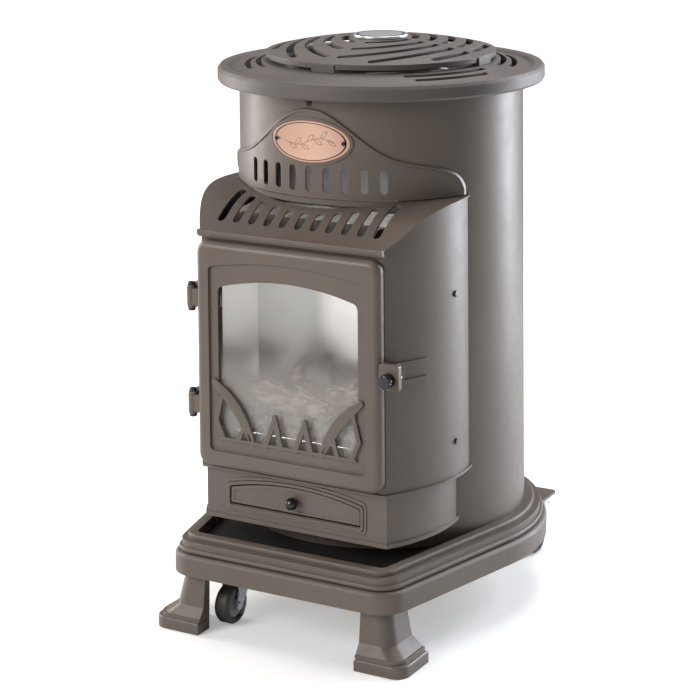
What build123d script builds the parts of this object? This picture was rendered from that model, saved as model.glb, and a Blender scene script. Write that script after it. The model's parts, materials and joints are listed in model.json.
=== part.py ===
from build123d import *
import math
import os

# Stove-style cabinet heater that burns bottled gas behind a log-effect window.
# Frame: millimetres, +Z up, -Y is the door side.
# Shapes are drawn about the drum's axis. On export they move back by ORIGIN_SHIFT,
# which puts the origin on the floor in the middle of the whole heater.

# Driving dimensions -------------------------------------------------------
ORIGIN_SHIFT = 32.0
DRUM_R = 191.0
SHEET = 1.2
DRUM_Z0 = 110.3
DRUM_Z1 = 692.0
REAR_BEARING = 107.0
CROWN_R = 220.0
CROWN_Z0 = 693.0
CROWN_Z1 = 713.0
LID_R = 154.6
LID_RIM_Z = 731.0
LID_TOP_Z = 749.0
SEAT_Z = 719.5
FRONT_Y = -240.0
CABINET_Z0 = 209.0
CABINET_Z1 = 511.0
LOWER_Y = -236.0
LOWER_Z0 = 140.0
LOWER_Z1 = 205.9
PLINTH_Z0 = 73.0
PLINTH_Z1 = 122.0
DECK_Z = 110.0
PLINTH_FRONT_Y = -285.0
PLINTH_FRONT_X = 162.0
PLINTH_REAR_R = 221.0
DOOR_HALF = 135.0
DOOR_Z0 = 212.0
DOOR_Z1 = 507.0
DOOR_FACE_Y = -256.0
DOOR_BACK_Y = -243.0
WHEEL_R = 25.0
WHEEL_HALF = 10.0
CASTOR_TRAIL = 20.0
FRONT_CASTOR = (102.0, -212.0)
REAR_CASTOR = (136.0, 205.0)
RUN = 0.05
GAP = 0.1


# Shared shapes ------------------------------------------------------------
def block(x0, x1, y0, y1, z0, z1):
    """A box given by its two corners."""
    centre = Pos((x0 + x1) / 2, (y0 + y1) / 2, (z0 + z1) / 2)
    return centre * Box(x1 - x0, y1 - y0, z1 - z0)


def prism(face, z0, z1):
    """A plan face raised between two heights."""
    return Pos(0, 0, z0) * extrude(face, z1 - z0)


def front_prism(face, y0, y1):
    """A face drawn in x and z as seen from the front, run from y0 back to y1."""
    plane = Plane(origin=(0, y1, 0), x_dir=(1, 0, 0), z_dir=(0, -1, 0))
    return extrude(plane * face, y1 - y0)


def side_prism(face, x0, x1):
    """A face drawn in y and z, run from x0 to x1."""
    plane = Plane(origin=(x0, 0, 0), x_dir=(0, 1, 0), z_dir=(1, 0, 0))
    return extrude(plane * face, x1 - x0)


def rod(start, end, radius):
    """A round bar between two points."""
    path = Line(start, end)
    return sweep(Plane(origin=start, z_dir=path % 0) * Circle(radius), path)


def ring_wall(radius, wall, z0, z1):
    """A round wall about the drum's axis, measured on its outside."""
    return prism(Circle(radius) - Circle(radius - wall), z0, z1)


def wedge(bearing, reach, z0, z1):
    """Everything within a bearing either side of the front, out to a reach."""
    arc = CenterArc((0, 0, 0), reach, -90 - bearing, 2 * bearing)
    face = make_face([arc, Line((0, 0), arc @ 0), Line(arc @ 1, (0, 0))])
    return prism(face, z0, z1)


def slot_cut(bearing, width, z0, z1):
    """A round-ended upright slot through the drum wall at a bearing."""
    cutter = front_prism(Pos(0, (z0 + z1) / 2) * SlotOverall(z1 - z0, width, rotation=90), -210, -170)
    return Rot(0, 0, bearing) * cutter


def both_sides(solid):
    """A solid and its mirror image across the plane of symmetry."""
    return [solid, mirror(solid, Plane.YZ)]


def fuse(pieces):
    """Join overlapping solids into one."""
    result = pieces[0]
    for piece in pieces[1:]:
        result = result + piece
    return result


def group(solids):
    """Separate solids that share one node."""
    return Compound(children=[s for item in solids for s in item.solids()])


def arched(half, z0, z_side, z_top, corner):
    """A door-shaped outline: flat foot, upright sides and a shallow arched head."""
    head = ThreePointArc((-half, z_side), (0, z_top), (half, z_side))
    foot = Polyline((-half, z_side), (-half, z0), (half, z0), (half, z_side))
    face = make_face([head] + list(foot.edges()))
    return fillet(face.vertices(), corner)


# Base ---------------------------------------------------------------------
def plinth_outline():
    """Straight front with round corners, flaring back to a round rear."""
    corner = (PLINTH_FRONT_X, PLINTH_FRONT_Y)
    reach = math.hypot(*corner)
    angle = math.atan2(corner[1], corner[0]) + math.acos(PLINTH_REAR_R / reach)
    tangent = (PLINTH_REAR_R * math.cos(angle), PLINTH_REAR_R * math.sin(angle))
    rear = ThreePointArc(tangent, (0, PLINTH_REAR_R), (-tangent[0], tangent[1]))
    front = Polyline((-tangent[0], tangent[1]), (-corner[0], corner[1]), corner, tangent)
    face = make_face([rear] + list(front.edges()))
    front_corners = face.vertices().filter_by_position(Axis.Y, PLINTH_FRONT_Y - 1, PLINTH_FRONT_Y + 1)
    return fillet(front_corners, 38)


def moulding(outline, inset, z0, z1, top_round, foot_round):
    """One band of the stepped edge, with its rims rounded over."""
    band = prism(offset(outline, -inset) if inset else outline, z0, z1)
    band = fillet(band.edges().group_by(Axis.Z)[-1], top_round)
    if foot_round:
        band = fillet(band.edges().group_by(Axis.Z)[0], foot_round)
    return band


def plinth():
    """Cast base: moulded rim, sunk deck and bosses for the front castors."""
    outline = plinth_outline()
    body = fuse([
        moulding(outline, 0, PLINTH_Z0, 100, 6, 0),
        prism(offset(outline, -9), 99, 115),
        moulding(outline, 5, 101, 107, 2.6, 2.6),
        moulding(outline, 11, 107.6, 113.6, 2.6, 2.6),
        moulding(outline, 17, 114.2, PLINTH_Z1, 3, 2.4),
    ])
    body -= prism(offset(outline, -30), DECK_Z, PLINTH_Z1 + 1)
    body -= prism(offset(outline, -6), PLINTH_Z0 - 1, 93)
    body -= prism(offset(outline, -16), PLINTH_Z0 - 1, DECK_Z - 6)
    x, y = FRONT_CASTOR
    for side in (-1, 1):
        body += Pos(side * x, y, 0) * prism(RectangleRounded(64, 60, 8), 76, DECK_Z - 5)
    return body


def leg_section(x_out, y_out, z):
    """Outer plan of a leg at one height, with its outer corner rounded."""
    x_in, y_in = 115.0, -223.0
    face = make_face(Polyline((x_in, y_in), (x_in, -y_out), (x_out, -y_out), (x_out, y_in), close=True))
    corner = face.vertices().sort_by(Axis.X)[-2:].sort_by(Axis.Y)[0]
    return Pos(0, 0, z) * fillet([corner], 18)


def leg():
    """Right-hand cast leg: a splayed angle with a stepped toe."""
    shank = loft([leg_section(161, 277, 31), leg_section(152, 272, PLINTH_Z0 - GAP)])
    flare = loft([leg_section(176, 286, 19), leg_section(161, 277, 31)])
    band = prism(leg_section(179, 288, 0), 15, 19)
    toe = prism(leg_section(184, 291, 0), 0, 15)
    toe = fillet(toe.edges().group_by(Axis.Z)[-1], 3)
    body = fuse([shank, flare, band, toe])
    low = Pos(0, 0, -1) * make_face(Polyline((90, -264), (157, -264), (157, -200), (90, -200), close=True))
    high = Pos(0, 0, 74) * make_face(Polyline((90, -261), (141, -261), (141, -200), (90, -200), close=True))
    return body - loft([low, high])


def rear_castor_brackets():
    """Steel shelves outside the round rear of the plinth, one per rear castor."""
    x, y = REAR_CASTOR
    shelf = Pos(x, y, 0) * prism(RectangleRounded(40, 44, 8), 76, 79)
    shelf += block(x - 20, x + 20, y - 60, y, 76, 79)
    shelf += wedge(179, 224, 76, 90) & block(x - 20, x + 20, y - 60, y, 76, 90)
    shelf -= prism(Circle(PLINTH_REAR_R + GAP), 70, 100)
    return group(both_sides(shelf))


def castor_sites():
    """Name, swivel axis and resting turn in degrees of each castor."""
    return [
        ("front_left", -FRONT_CASTOR[0], FRONT_CASTOR[1], 0),
        ("front_right", FRONT_CASTOR[0], FRONT_CASTOR[1], 60),
        ("rear_left", -REAR_CASTOR[0], REAR_CASTOR[1], 0),
        ("rear_right", REAR_CASTOR[0], REAR_CASTOR[1], 0),
    ]


STUD_R = 4.0
AXLE_R = 3.0


def castor_plates():
    """The four round top plates that the castors swivel in."""
    plate = prism(Circle(19) - Circle(STUD_R + RUN), 73.2, 75.9)
    return group([Pos(x, y, 0) * plate for _, x, y, _ in castor_sites()])


def castor_fork():
    """Pressed fork with its king pin, trailing towards the front."""
    cheek_in = WHEEL_HALF + 1.5
    cheek_face = make_face(Polyline(
        (-14, 64), (14, 64), (12, 54), (-CASTOR_TRAIL + 7, 22), (-CASTOR_TRAIL, 17), (-CASTOR_TRAIL - 7, 22),
        close=True))
    cheek_face = fillet(cheek_face.vertices(), 3)
    cheek = side_prism(cheek_face, cheek_in, cheek_in + 2)
    cheek -= rod((0, -CASTOR_TRAIL, WHEEL_R), (30, -CASTOR_TRAIL, WHEEL_R), AXLE_R + RUN)
    crown = block(-cheek_in - 2, cheek_in + 2, -13, 13, 60, 64)
    race = prism(Circle(14), 63, 73)
    stud = prism(Circle(STUD_R), 72, 75.6)
    return fuse([crown, race, stud] + both_sides(cheek))


def castor_axle():
    """Riveted axle with a head at each end."""
    half = WHEEL_HALF + 3.6
    pin = rod((-half, -CASTOR_TRAIL, WHEEL_R), (half, -CASTOR_TRAIL, WHEEL_R), AXLE_R)
    head = rod((half, -CASTOR_TRAIL, WHEEL_R), (half + 2, -CASTOR_TRAIL, WHEEL_R), 5)
    return fuse([pin] + both_sides(head))


def castor_wheel():
    """Moulded wheel: rounded tread, dished sides and a hub bored for the axle."""
    half = WHEEL_HALF
    profile = make_face(Polyline(
        (AXLE_R + RUN, -half), (8, -half), (9, -half + 3), (18, -half + 3), (19, -half), (23, -half),
        (WHEEL_R, -half + 3), (WHEEL_R, half - 3), (23, half), (19, half), (18, half - 3), (9, half - 3),
        (8, half), (AXLE_R + RUN, half), close=True))
    wheel = revolve(Plane.XZ * profile, Axis.Z)
    return Pos(0, -CASTOR_TRAIL, WHEEL_R) * Rot(0, 90, 0) * wheel


# Drum ---------------------------------------------------------------------
def drum_casing():
    """Rolled sheet drum: open in front for the fire, open behind for the bottle."""
    drum = ring_wall(DRUM_R, SHEET, DRUM_Z0, DRUM_Z1)
    drum += ring_wall(DRUM_R, 12, DRUM_Z0, DRUM_Z0 + 2)
    drum -= wedge(57, 260, 138, CABINET_Z0)
    drum -= wedge(63.8, 260, CABINET_Z0 - 1, 555)
    drum -= wedge(35, 260, 562, 610)
    rear = 180 - REAR_BEARING
    drum -= Rot(0, 0, 180) * wedge(rear, 260, 126, 680)
    return drum


def rear_cover():
    """Curved lift-off cover over the bottle space, with air louvres and a grip."""
    rear = 180 - REAR_BEARING - 0.5
    cover = ring_wall(DRUM_R, SHEET, 127, 679) & Rot(0, 0, 180) * wedge(rear, 260, 120, 690)
    for z in range(170, 291, 24):
        for bearing in range(-30, 31, 20):
            cover -= Rot(0, 0, 180 + bearing) * front_prism(Pos(0, z) * SlotOverall(44, 7), -200, -180)
    cover -= Rot(0, 0, 180) * front_prism(Pos(0, 640) * SlotOverall(90, 26), -200, -180)
    return cover


def arc_strip(middle, radius, first, last, width):
    """A round-ended strip along an arc centred on the X axis."""
    half = width / 2
    outer = CenterArc((middle, 0, 0), radius + half, first, last - first)
    inner = CenterArc((middle, 0, 0), radius - half, first, last - first)
    face = make_face([outer, inner, Line(outer @ 0, inner @ 0), Line(outer @ 1, inner @ 1)])
    for angle in (first, last):
        x = middle + radius * math.cos(math.radians(angle))
        y = radius * math.sin(math.radians(angle))
        face += Pos(x, y) * Circle(half)
    return face


def crown_slots():
    """Curved slots through the crown on either side of the lid."""
    cuts = []
    for k in range(2):
        for first, last in ((-50, -8), (8, 50)):
            strip = arc_strip(0, 165 + 14.5 * k, first + 4 * k, last - 4 * k, 8)
            cuts += both_sides(prism(strip, 700, 725))
    return cuts


def crown_plate():
    """Cast top ring: deep rim, deck rising to the throat and a spigot inside the drum."""
    profile = make_face(Polyline(
        (138, SEAT_Z - 5.5), (156, SEAT_Z - 6), (200, 703), (206, 703), (212, 698), (213, CROWN_Z0),
        (218, CROWN_Z0), (CROWN_R, 696), (CROWN_R, 709), (217, CROWN_Z1), (207, CROWN_Z1), (203, 709),
        (156, SEAT_Z), (138, SEAT_Z), close=True))
    crown = revolve(Plane.XZ * profile, Axis.Z)
    crown += ring_wall(DRUM_R - SHEET - GAP, 4, 684, 706)
    for cut in crown_slots():
        crown -= cut
    return crown


LID_FOOT_W = 33.0
LID_SLOT_W = 10.5


def lid_slots():
    """Nested pointed slots, mirrored into four quarters about the middle."""
    reach = LID_R - 12
    cuts = []
    for k in range(5):
        across = 46 + 22 * k
        along = 58 + 37 * k
        radius = (across ** 2 + along ** 2) / (2 * across)
        middle = across - radius
        first = math.degrees(math.asin(10.5 / radius))
        at_rib = math.degrees(math.acos((10.5 - middle) / radius))
        rim_cosine = (middle ** 2 + radius ** 2 - reach ** 2) / (-2 * middle * radius)
        at_rim = math.degrees(math.acos(rim_cosine)) if rim_cosine > -1 else at_rib
        strip = arc_strip(middle, radius, first, min(at_rib, at_rim), LID_SLOT_W)
        quarter = both_sides(prism(strip, LID_RIM_Z - 12, LID_TOP_Z + 5))
        cuts += quarter + [mirror(item, Plane.XZ) for item in quarter]
    return cuts


def lid_grille():
    """Domed cast grille on four feet, with a turned-down rim."""
    thick = 5.0
    rise = LID_TOP_Z - LID_RIM_Z
    ball = (LID_R ** 2 + rise ** 2) / (2 * rise)
    half = LID_R / 2
    bulge = LID_TOP_Z - ball + math.sqrt(ball ** 2 - half ** 2)
    top = ThreePointArc((0, LID_TOP_Z), (half, bulge), (LID_R, LID_RIM_Z))
    under = ThreePointArc((0, LID_TOP_Z - thick), (half, bulge - thick), (LID_R, LID_RIM_Z - thick))
    ends = [Line(top @ 0, under @ 0), Line(top @ 1, under @ 1)]
    dome = revolve(Plane.XZ * make_face([top, under] + ends), Axis.Z)
    for cut in lid_slots():
        dome -= cut
    rim = prism(Circle(LID_R) - Circle(LID_R - 5), LID_RIM_Z - 7, LID_RIM_Z - 0.5)
    boss = prism(Circle(40), LID_TOP_Z - 4, LID_TOP_Z + 0.4)
    lid = fuse([dome, rim, boss])
    for bearing in (0, 90, 180, 270):
        foot = block(-LID_FOOT_W / 2, LID_FOOT_W / 2, -LID_R - 1.2, -LID_R + 10, SEAT_Z + GAP, LID_RIM_Z - 1)
        lid += Rot(0, 0, bearing) * foot
    return lid


def lid_badge():
    """Plain round plate on the middle of the lid."""
    badge = prism(Circle(37), LID_TOP_Z + 0.5, LID_TOP_Z + 3)
    return fillet(badge.edges().group_by(Axis.Z)[-1], 1)


# Collar and badge -----------------------------------------------------------
def collar_outline():
    """Bell-shaped front plate: a crest over the badge falling to square shoulders."""
    half = DRUM_R * math.sin(math.radians(64.6))
    right = Spline((0, 678), (38, 666), (83, 631), (110, 615), (155, 600), (half - 2, 574),
                   tangents=[(1, 0), (0.15, -1)])
    left = mirror(right, Plane.YZ)
    foot = Polyline((half - 2, 574), (half - 2, 563.5), (-half + 2, 563.5), (-half + 2, 574))
    return make_face(list(right.edges()) + list(left.edges()) + list(foot.edges()))


BADGE_Z = 636.0
BADGE_A = 57.0
BADGE_B = 26.5


def collar():
    """Raised sheet over the drum's front, with nine slots and a ring round the badge."""
    inner = DRUM_R + GAP
    plate = ring_wall(inner + 2.4, 2.4, 540, 690) & front_prism(collar_outline(), -220, -60)
    bezel = Pos(0, BADGE_Z) * (Ellipse(BADGE_A + 4, BADGE_B + 4) - Ellipse(BADGE_A + 0.6, BADGE_B + 0.6))
    plate += ring_wall(inner + 4.2, 2.4, 540, 690) & front_prism(bezel, -220, -150)
    for k in range(-4, 5):
        plate -= slot_cut(7.4 * k, 10, 571, 604)
    return plate


def oval_badge():
    """Plain oval plate on the collar."""
    inner = DRUM_R + GAP + 2.4 + RUN
    face = Pos(0, BADGE_Z) * Ellipse(BADGE_A, BADGE_B)
    badge = ring_wall(inner + 1.5, 1.5, 600, 670) & front_prism(face, -220, -150)
    for side in (-1, 1):
        badge -= rod((side * 49.5, -220, BADGE_Z), (side * 49.5, -150, BADGE_Z), 1.7)
    return badge


def badge_rivets():
    """The badge's two round-headed rivets."""
    y = -math.sqrt((DRUM_R + 4.2) ** 2 - 49.5 ** 2)
    shank = rod((49.5, y - 1.1, BADGE_Z), (49.5, y + 1.15, BADGE_Z), 1.6)
    head = rod((49.5, y - 2.6, BADGE_Z), (49.5, y - 0.9, BADGE_Z), 2.9)
    head = fillet(head.edges().sort_by(Axis.Y)[:1], 1.2)
    return group(both_sides(shank + head))


# Cabinet --------------------------------------------------------------------
def bowed_plan(half_span, radius, centre_y, front_y, grow):
    """Cabinet plan: flat front and two bowed sides, grown by an offset."""
    shift = radius - half_span
    lens = Pos(-shift, centre_y) * Circle(radius + grow)
    lens = lens & (Pos(shift, centre_y) * Circle(radius + grow))
    depth = -60 - (front_y - grow)
    return lens & (Pos(0, front_y - grow + depth / 2) * Rectangle(400, depth))


def cabinet_plan(grow):
    """Plan of the fire cabinet."""
    return bowed_plan(175, 195, -120, FRONT_Y, grow)


def lower_plan(grow):
    """Plan of the body under the cabinet."""
    return bowed_plan(164, 196, -130, LOWER_Y, grow)


def canopy_line(drop, shift):
    """Cross-section of the hood over the door, from its lip back to the drum."""
    points = [(-245, 518), (-222, 531), (-205, 543), (-178, 555), (-139, 561.5), (-76, 563)]
    return Spline([(y + shift, z - drop) for y, z in points])


def canopy_under():
    """Everything above the underside of the hood."""
    low = canopy_line(2.2, 1.2)
    start, end = low @ 0, low @ 1
    top = Polyline(end, (end.X, 640), (start.X - 20, 640), (start.X - 20, start.Y), start)
    return side_prism(make_face(list(low.edges()) + list(top.edges())), -200, 200)


def canopy():
    """Curved hood with eleven vents and a moulded front lip."""
    high, low = canopy_line(0, 0), canopy_line(2, 1.1)
    ends = [Line(high @ 0, low @ 0), Line(high @ 1, low @ 1)]
    sheet = side_prism(make_face(list(high.edges()) + list(low.edges()) + ends), -200, 200)
    sheet = sheet & prism(cabinet_plan(6), 500, 600)
    sheet -= prism(Circle(DRUM_R + GAP), 500, 600)
    edge = sheet & (prism(cabinet_plan(2.2), 500, 600) + block(-136, 136, -252, -232, 500, 600))
    lip = block(-136, 136, -248.5, -243, 513, 519.4)
    lip = fillet(lip.edges().filter_by(Axis.X), 1.2)
    under = block(-136, 136, -246, -242.2, 510.5, 514)
    hood = fuse([edge, lip, under])
    for k in range(-5, 6):
        x = 22.9 * k
        back = -math.sqrt(193 ** 2 - x ** 2) - 8
        slot = Pos(x, (-226 + back) / 2) * SlotOverall(back + 226, 11, rotation=90)
        hood -= prism(slot, 500, 600)
    return hood


def cabinet_casing():
    """Bowed sheet sides standing on a projecting ledge."""
    sides = cabinet_plan(0) - cabinet_plan(-1.5) - Circle(DRUM_R + GAP)
    sides -= Pos(0, -240) * Rectangle(268.4, 14)
    wall = prism(sides, CABINET_Z0, 570) - canopy_under()
    ledge = prism(cabinet_plan(3) - Circle(DRUM_R + GAP), LOWER_Z1 + GAP, CABINET_Z0 + 0.1)
    ledge = fillet(ledge.edges().group_by(Axis.Z)[-1].filter_by_position(Axis.Y, -250, -235), 1)
    return wall + ledge


FRAME_HALF = 133.8


def front_frame():
    """Flat front of the cabinet behind the door, open to the fire."""
    plate = block(-FRAME_HALF, FRAME_HALF, FRONT_Y, FRONT_Y + 2, CABINET_Z0 + 0.3, CABINET_Z1 + 3)
    opening = arched(112, 232, 478, 492, 8)
    return plate - front_prism(opening, -245, -230)


def flap_outline(grow):
    """Outline of the control flap, with its shallow arched head."""
    return arched(95 + grow, 162 - grow, 183 + grow, 195 + grow, max(1, 2 + grow / 2))


FLAP_Z = 165.0
FLAP_Y = -234.0


def lower_body():
    """Shell under the fire with an opening for the control flap."""
    wall = lower_plan(0) - lower_plan(-2) - Circle(DRUM_R + GAP)
    shell = prism(wall, LOWER_Z0, LOWER_Z1)
    shell += prism(lower_plan(0) - Circle(DRUM_R + GAP), LOWER_Z0, LOWER_Z0 + 2)
    bead = lower_plan(2.5) - lower_plan(-0.5) - Circle(DRUM_R + GAP)
    shell += prism(bead, LOWER_Z0, LOWER_Z0 + 5)
    for grow, proud in ((9.5, 1.6), (5.5, 3.0)):
        ring = flap_outline(grow) - flap_outline(grow - 3.4)
        shell += front_prism(ring, LOWER_Y - proud, LOWER_Y + 0.5)
    shell -= front_prism(flap_outline(1.6), -250, -230)
    ear = block(96, 99.5, FLAP_Y - 1.9, FLAP_Y + 4, FLAP_Z - 4, FLAP_Z + 4)
    for solid in both_sides(ear):
        shell += solid
    shell -= rod((-99, FLAP_Y + 1, FLAP_Z), (99, FLAP_Y + 1, FLAP_Z), 1.5 + RUN)
    return shell


def control_flap():
    """Drop-down flap with a sunk panel, turning on two stub pins."""
    plate = front_prism(flap_outline(0), LOWER_Y - 1, LOWER_Y + 1.4)
    plate -= block(-100, 100, -250, -230, 150, FLAP_Z - 1.8)
    plate -= front_prism(flap_outline(-4), LOWER_Y - 2, LOWER_Y)
    plate += rod((-95, FLAP_Y + 1, FLAP_Z), (95, FLAP_Y + 1, FLAP_Z), 2.8)
    plate += rod((-98.5, FLAP_Y + 1, FLAP_Z), (98.5, FLAP_Y + 1, FLAP_Z), 1.5)
    return plate - rod((0, -250, 178), (0, -225, 178), 2.6)


def flap_knob():
    """Ball knob on a short stem."""
    stem = rod((0, LOWER_Y - 6, 178), (0, LOWER_Y + 2.5, 178), 2.5)
    return stem + Pos(0, LOWER_Y - 9, 178) * Sphere(8)


# Door -----------------------------------------------------------------------
HINGE_X = -146.0
HINGE_Y = -247.0
HINGE_ZS = (291.0, 431.0)
LATCH_X = 148.0
LATCH_Z = 361.0


def window_outline(grow):
    """Outline of the window opening, grown by an offset."""
    return arched(103 + grow, 250 - grow, 448 + grow, 463 + grow, 9)


def hinge_lug(z):
    """Door-side knuckle with its web."""
    lug = Pos(HINGE_X, HINGE_Y, 0) * prism(Circle(6.5), z - 11, z + 11)
    web = block(HINGE_X, -DOOR_HALF + 4, HINGE_Y - 5, HINGE_Y + 3.5, z - 11, z + 11)
    return lug + web


def door_frame():
    """Cast door: rounded rim, sunk arched panel, window rebate and lugs."""
    outline = Pos(0, (DOOR_Z0 + DOOR_Z1) / 2) * RectangleRounded(2 * DOOR_HALF, DOOR_Z1 - DOOR_Z0, 16)
    body = front_prism(outline, DOOR_FACE_Y, DOOR_BACK_Y)
    body = fillet(body.edges().group_by(Axis.Y)[0], 9)
    recess = front_prism(arched(115, 234, 475, 487, 7), DOOR_FACE_Y - 1, DOOR_FACE_Y + 4)
    body -= recess
    body -= front_prism(window_outline(0), DOOR_FACE_Y - 1, DOOR_BACK_Y + 1)
    body -= front_prism(window_outline(8), DOOR_FACE_Y + 6.5, DOOR_BACK_Y + 1)
    for z in HINGE_ZS:
        body += hinge_lug(z)
        body -= Pos(HINGE_X, HINGE_Y, 0) * prism(Circle(3 + RUN), z - 12, z + 12)
    latch = front_prism(Pos(LATCH_X, LATCH_Z + 3) * RectangleRounded(28, 32, 3), DOOR_FACE_Y + 1, -248)
    body += latch + block(130, 140, -253, -248, LATCH_Z - 10, LATCH_Z + 16)
    return body - rod((LATCH_X, -260, LATCH_Z), (LATCH_X, -240, LATCH_Z), 4 + RUN)


def glass_seal():
    """Flat rope seal in front of the glass."""
    face = window_outline(7.6) - window_outline(1)
    return front_prism(face, -249.4, -248)


def door_glass():
    """Heat-resisting pane."""
    return front_prism(window_outline(7.4), -247.9, -243.9)


def glass_clips():
    """Four flat clips that hold the pane from behind."""
    clips = []
    for z in (285, 420):
        clips += both_sides(block(104, 120, -242.9, -241.9, z, z + 14))
    return group(clips)


def trace(path, width):
    """A flat strip with round ends along a planar path."""
    half = width / 2
    ends = [Pos(*(path @ t).to_tuple()) * Circle(half) for t in (0, 1)]
    outer = offset(path, half, side=Side.RIGHT, closed=False)
    inner = offset(path, half, side=Side.LEFT, closed=False)
    caps = [Line(outer @ 0, inner @ 0), Line(outer @ 1, inner @ 1)]
    face = make_face(list(outer.edges()) + list(inner.edges()) + caps)
    return face + ends[0] + ends[1]


def straight(start, end, width):
    """A straight strip with round ends."""
    run = math.dist(start, end)
    angle = math.degrees(math.atan2(end[1] - start[1], end[0] - start[0]))
    middle = ((start[0] + end[0]) / 2, (start[1] + end[1]) / 2)
    return Pos(*middle) * SlotCenterToCenter(run, width, rotation=angle)


def gallery():
    """Fretwork of leaning bars across the foot of the window."""
    bar = 7.0
    foot_z = 252.0
    face = Pos(0, foot_z) * Rectangle(202, 3.4)
    for side in (-1, 1):
        arc = ThreePointArc((side * 108, 325), (side * 75, 299), (side * 51, foot_z))
        face += trace(arc, bar)
        face += straight((side * 96, 311), (side * 105, 276), bar - 1)
        face += straight((side * 105, 276), (side * 95, foot_z + 2), bar - 1)
    face += straight((-62, 277), (-72, foot_z), bar - 1.5)
    face += straight((67, 277), (74, foot_z), bar - 1.5)
    for apex in (-18, 26):
        face += straight((apex, 290), (apex + 9, foot_z), bar)
        face += straight((apex - 1, 283), (apex - 14, foot_z), bar)
    bars = front_prism(face, DOOR_FACE_Y + 0.4, DOOR_FACE_Y + 3.9)
    return bars & front_prism(Pos(0, 300) * Rectangle(229, 110), -260, -240)


def hinge_brackets():
    """Cabinet-side ears above and below each door knuckle."""
    brackets = []
    for z in HINGE_ZS:
        ears = []
        for z0 in (z - 14.5, z + 11.5):
            ear = Pos(HINGE_X, HINGE_Y, 0) * prism(Circle(6), z0, z0 + 3)
            ears.append(ear + block(HINGE_X - 6, HINGE_X + 6, HINGE_Y, -232, z0, z0 + 3))
        web = block(HINGE_X - 6, HINGE_X + 9, -238.5, -218, z - 14.5, z + 14.5)
        part = fuse([web] + ears) - prism(cabinet_plan(RUN), z - 20, z + 20)
        brackets.append(part - Pos(HINGE_X, HINGE_Y, 0) * prism(Circle(3 + RUN), z - 20, z + 20))
    return group(brackets)


def hinge_pins():
    """Two hinge pins, each with a domed cap at both ends."""
    pins = []
    for z in HINGE_ZS:
        pin = prism(Circle(3), z - 15, z + 15)
        cap = fillet(prism(Circle(5), z + 14.6, z + 19).edges().group_by(Axis.Z)[-1], 2)
        foot = fillet(prism(Circle(5), z - 19, z - 14.6).edges().group_by(Axis.Z)[0], 2)
        pins.append(Pos(HINGE_X, HINGE_Y, 0) * (pin + cap + foot))
    return group(pins)


def latch_knob():
    """Ribbed round knob on the door's latch."""
    knob = rod((LATCH_X, -268, LATCH_Z), (LATCH_X, -255.5, LATCH_Z), 9)
    knob = fillet(knob.edges().sort_by(Axis.Y)[:1], 2.5)
    for k in range(12):
        angle = math.radians(30 * k)
        x = LATCH_X + 9.6 * math.cos(angle)
        z = LATCH_Z + 9.6 * math.sin(angle)
        knob -= rod((x, -270, z), (x, -258, z), 1.3)
    return knob - rod((LATCH_X, -262, LATCH_Z), (LATCH_X, -250, LATCH_Z), 4 + RUN)


def latch_cam():
    """Spindle with a flat cam that turns behind the keeper."""
    spindle = rod((LATCH_X, -261, LATCH_Z), (LATCH_X, -236, LATCH_Z), 4)
    cam = front_prism(Pos(LATCH_X, LATCH_Z) * SlotOverall(16, 6.5), -239.5, -236)
    return spindle + cam


def latch_keeper():
    """Spring keeper on the cabinet's side: a bridge with two prongs."""
    skin = cabinet_plan(2.4) - cabinet_plan(RUN)
    strips = []
    for z0 in (LATCH_Z - 14, LATCH_Z + 8.5):
        strips.append(prism(skin, z0, z0 + 5.5) & block(100, 190, -232, -186, z0, z0 + 5.5))
    bridge = prism(skin, LATCH_Z - 14, LATCH_Z + 14) & block(100, 190, -228, -219, 300, 420)
    noses = []
    for side in (-1, 1):
        stem_z = sorted((LATCH_Z + side * 9, LATCH_Z + side * 14))
        nose_z = sorted((LATCH_Z + side * 5, LATCH_Z + side * 14))
        nose = block(142.5, 152, -243.5, -240, *nose_z) + block(144, 147, -242, -224, *stem_z)
        noses.append(nose - prism(cabinet_plan(RUN), LATCH_Z - 20, LATCH_Z + 20))
    return fuse(strips + [bridge] + noses)


def casing_screws():
    """Pan-head screws in the cabinet's sides and round the top of the drum."""
    screws = []
    for z in (253, 444):
        head = rod((175.2, -127, z), (177.2, -127, z), 4)
        screws += both_sides(fillet(head.edges().sort_by(Axis.X)[-1:], 1))
    for bearing in (0, 135, 225):
        head = rod((0, -193.2, 685), (0, -191.1, 685), 4)
        screws.append(Rot(0, 0, bearing) * fillet(head.edges().sort_by(Axis.Y)[:1], 1))
    return group(screws)


# Fire -----------------------------------------------------------------------
def reflector():
    """Polished liner behind the fire, with a bright cross plate under the hood."""
    outer = Polyline((-107, -236), (-125, -120), (125, -120), (107, -236))
    inner = Polyline((106, -236), (124, -121), (-124, -121), (-106, -236))
    face = make_face(list(outer.edges()) + list(inner.edges())
                     + [Line(outer @ 1, inner @ 0), Line(inner @ 1, outer @ 0)])
    liner = prism(face, 212, 536)
    cross = block(-113.5, 113.5, -193.2, -192, 492, 536)
    liner += cross
    return liner - canopy_under()


def heat_shield():
    """Flat screen between the fire and the bottle space."""
    return block(-155, 155, -102, -100.5, 146, 640)


def burner():
    """Pressed burner tray with its gas tube."""
    tray = block(-96, 96, -222, -140, 213, 229)
    tray = fillet(tray.edges().filter_by(Axis.Z), 10)
    tray -= block(-93, 93, -219, -143, 216, 232)
    tube = rod((-94, -181, 222), (94, -181, 222), 5)
    return tray + tube


def ember_bed():
    """Moulded ember bed, grooved across its sloping front."""
    face = make_face(Polyline(
        (-224, 229.5), (-140, 229.5), (-140, 262), (-190, 278), (-208, 280), (-222, 262), close=True))
    bed = side_prism(face, -98, 98)
    for k in range(-6, 7):
        bed -= rod((14.5 * k, -236, 262), (14.5 * k + 4, -196, 292), 4)
    return bed


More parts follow.
